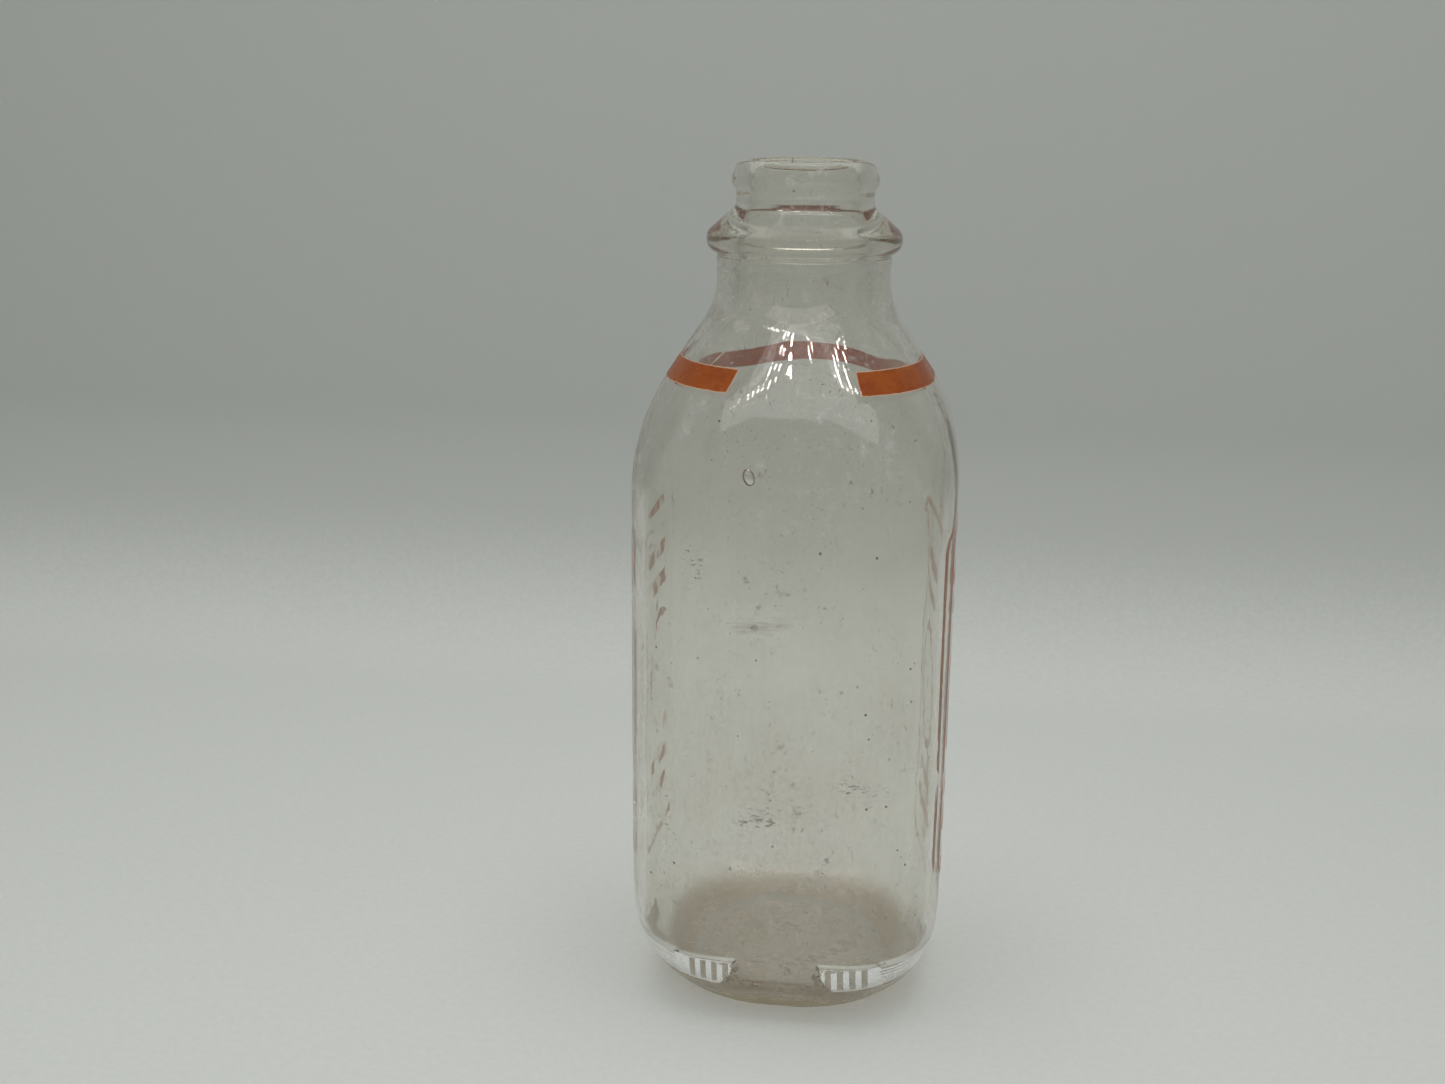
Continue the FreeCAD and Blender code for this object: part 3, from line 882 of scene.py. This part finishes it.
# ---- A print's two materials are for what is seen from outside and what is seen through the glass. The one seen through the glass is a lit copy, painted lighter and more orange as painted light, to make up for the lamp light that the glass keeps off it.
PALE = (0.62, 0.47, 0.33)
FADED = (0.44, 0.25, 0.155)
band_enamel = (
    enamel_material("band_enamel", (0.32, 0.072, 0.004), (0.25, 0.041, 0.001), PALE, 0.26, 0.0),
    # Painted light: the band's back, seen through the glass, gets lighter copies of its colours.
    enamel_material("band_enamel_through_glass_painted_light", (0.70, 0.13, 0.01), (0.58, 0.08, 0.004), PALE, 0.16, 0.0),
)
label_enamel = (
    enamel_material("label_enamel", (0.42, 0.125, 0.045), (0.30, 0.065, 0.02), FADED, 0.20, 0.14),
    # Painted light: the labels' backs, seen through the glass, get lighter copies of their colours and a paler
    # rim.
    enamel_material("label_enamel_through_glass_painted_light", (0.72, 0.28, 0.12), (0.56, 0.18, 0.07), PALE, 0.16, 0.12),
)
left_joint = [a + BAND_JOINT_GAP - 360 for a in BAND_JOINT]
right_joint = [a - BAND_JOINT_GAP for a in BAND_JOINT]
enamel = {
    "shoulder_band_left": band_mesh("band_left", left_joint, BAND_LEFT_END),
    "shoulder_band_right": band_mesh("band_right", BAND_RIGHT_END, right_joint),
}
for label, side, wear in (("right", 1, 0.05), ("left", -1, 0.42)):
    for shape, field in (("border", border_field), ("medallion", medallion_field), ("bars", bars_field)):
        enamel[f"label_{label}_{shape}"] = label_mesh(f"{label}_{shape}", field, side, wear)
for node, mesh in enamel.items():
    piece = new_object(f"{node}_worn", mesh, *(band_enamel if "band" in node else label_enamel))
    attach(piece, "root")
    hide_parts(node)


# ---------------------------------------------------------------- floor, light and camera

FLOOR_COLOR = (0.745, 0.76, 0.735)
# The wall is painted greyer than the floor as painted shade, for the less light it gets from the lamps above.
WALL_COLOR_PAINTED_SHADE = (0.50, 0.515, 0.495)
SWEEP_FRONT = -1.5
SWEEP_TURN = 0.20
SWEEP_RADIUS = 0.10
SWEEP_TOP = 2.0
SWEEP_HALF_WIDTH = 3.0


def paper_material():
    """Plain paper, pale on the floor and painted greyer where it turns up behind, as painted shade for the
    wall.
    """
    g = Graph("backdrop")
    grain = g.ramp(g.noise((2, 2, 2), 3), 0.3, 0.7, -0.004, 0.004)
    share = g.ramp(g.math("ADD", g.rise(), grain), -0.02, 0.06)
    g.links.new(g.mix(share, FLOOR_COLOR, WALL_COLOR_PAINTED_SHADE), g.shader.inputs["Base Color"])
    g.shader.inputs["Roughness"].default_value = 0.85
    return g.material


def sweep():
    """Floor that runs back from the camera and curves up into a backdrop."""
    line = [(SWEEP_FRONT, 0.0), (SWEEP_TURN, 0.0)]
    count = 24
    for i in range(1, count + 1):
        turn = math.pi / 2 * i / count
        line.append((SWEEP_TURN + SWEEP_RADIUS * math.sin(turn), SWEEP_RADIUS * (1 - math.cos(turn))))
    line.append((SWEEP_TURN + SWEEP_RADIUS, SWEEP_TOP))
    vertices = [(x, y, z) for y, z in line for x in (-SWEEP_HALF_WIDTH, SWEEP_HALF_WIDTH)]
    faces = [(2 * i, 2 * i + 1, 2 * i + 3, 2 * i + 2) for i in range(len(line) - 1)]
    mesh = bpy.data.meshes.new("backdrop")
    mesh.from_pydata(vertices, [], faces)
    for polygon in mesh.polygons:
        polygon.use_smooth = True
    return mesh


floor = new_object("backdrop", sweep(), paper_material())


LAMP_HEIGHT = 0.478
LAMP_PITCH = (0.020, 0.008)
LAMP_SIZE = (0.003, 0.004)
LAMP_STRENGTH = 210.0


def lamp_dots(name, x, y, turn, across, deep):
    """Rows of small lamps that face down, seen only in the glass as points of light: their middle, how far
    they are turned, how many are in a row and how many rows there are."""
    mesh = bmesh.new()
    middle = Matrix.Translation(Vector((x, y, LAMP_HEIGHT))) @ Matrix.Rotation(turn, 4, "Z")
    for row in range(deep):
        for i in range(across):
            shift = ((i - (across - 1) / 2) * LAMP_PITCH[0], (row - (deep - 1) / 2) * LAMP_PITCH[1], 0)
            place = middle @ Matrix.Translation(shift) @ Matrix.Diagonal((*LAMP_SIZE, 1.0, 1.0))
            bmesh.ops.create_circle(mesh, cap_ends=True, segments=12, radius=0.5, matrix=place)
    made = bpy.data.meshes.new(name)
    mesh.to_mesh(made)
    mesh.free()
    material, *_, shader = new_material(name)
    shader.inputs["Base Color"].default_value = (0, 0, 0, 1)
    shader.inputs["Emission Color"].default_value = (1.0, 0.97, 0.92, 1)
    shader.inputs["Emission Strength"].default_value = LAMP_STRENGTH
    material.cycles.emission_sampling = "NONE"
    dots = new_object(name, made, material)
    dots.visible_camera = dots.visible_diffuse = dots.visible_shadow = False


lamp_dots("lamps_left", -0.133, -0.221, 0.0, 11, 4)
lamp_dots("lamps_right", 0.122, -0.157, math.radians(27.5), 11, 2)


def area_light(name, location, target, size, power, color=(1, 1, 1)):
    data = bpy.data.lights.new(name, "AREA")
    data.shape = "RECTANGLE"
    data.size, data.size_y = size
    data.energy = power
    data.color = color
    light = bpy.data.objects.new(name, data)
    light.location = location
    light.rotation_euler = (Vector(target) - Vector(location)).to_track_quat("-Z", "Y").to_euler()
    bpy.context.scene.collection.objects.link(light)
    return light


overhead = area_light("overhead", (0.0, 0.0, 1.4), (0, 0.0, 0), (1.0, 0.8), 4.9)
key = area_light("key", (0.0, -0.28, 0.62), (0, 0.0, 0.05), (0.8, 0.3), 1.35)
for lamp in (overhead, key):
    lamp.visible_glossy = False
key.data.use_shadow = False
world = bpy.data.worlds.new("studio")
world.use_nodes = True
world.node_tree.nodes["Background"].inputs["Color"].default_value = (0.97, 1.0, 0.95, 1.0)
world.node_tree.nodes["Background"].inputs["Strength"].default_value = 0.38
bpy.context.scene.world = world
bpy.context.scene.view_settings.view_transform = "Standard"
BOUNCES = 36
bpy.context.scene.cycles.max_bounces = BOUNCES
bpy.context.scene.cycles.glossy_bounces = BOUNCES
bpy.context.scene.cycles.transmission_bounces = BOUNCES

CAMERA_DISTANCE = 0.4387
CAMERA_HEIGHT = 0.2498
CAMERA_SIDE = math.radians(4.7)
CAMERA_DOWN = math.radians(15.8)
CAMERA_PAN = math.radians(2.71)
CAMERA_ROLL = math.radians(0.54)
camera_data = bpy.data.cameras.new("camera")
camera_data.sensor_width = 36.0
camera_data.lens = 41.1
camera_data.clip_start = 0.01
camera = bpy.data.objects.new("camera", camera_data)
bpy.context.scene.collection.objects.link(camera)
heading = CAMERA_SIDE + CAMERA_PAN
level = math.cos(CAMERA_DOWN)
ahead = Vector((-math.sin(heading) * level, math.cos(heading) * level, -math.sin(CAMERA_DOWN)))
level_right = ahead.cross(Vector((0, 0, 1))).normalized()
level_up = level_right.cross(ahead)
right = level_right * math.cos(CAMERA_ROLL) + level_up * math.sin(CAMERA_ROLL)
up = right.cross(ahead)
place = Vector((CAMERA_DISTANCE * math.sin(CAMERA_SIDE),
                -CAMERA_DISTANCE * math.cos(CAMERA_SIDE), CAMERA_HEIGHT))
camera.matrix_world = Matrix((
    (right.x, up.x, -ahead.x, place.x),
    (right.y, up.y, -ahead.y, place.y),
    (right.z, up.z, -ahead.z, place.z),
    (0, 0, 0, 1),
))
bpy.context.scene.camera = camera
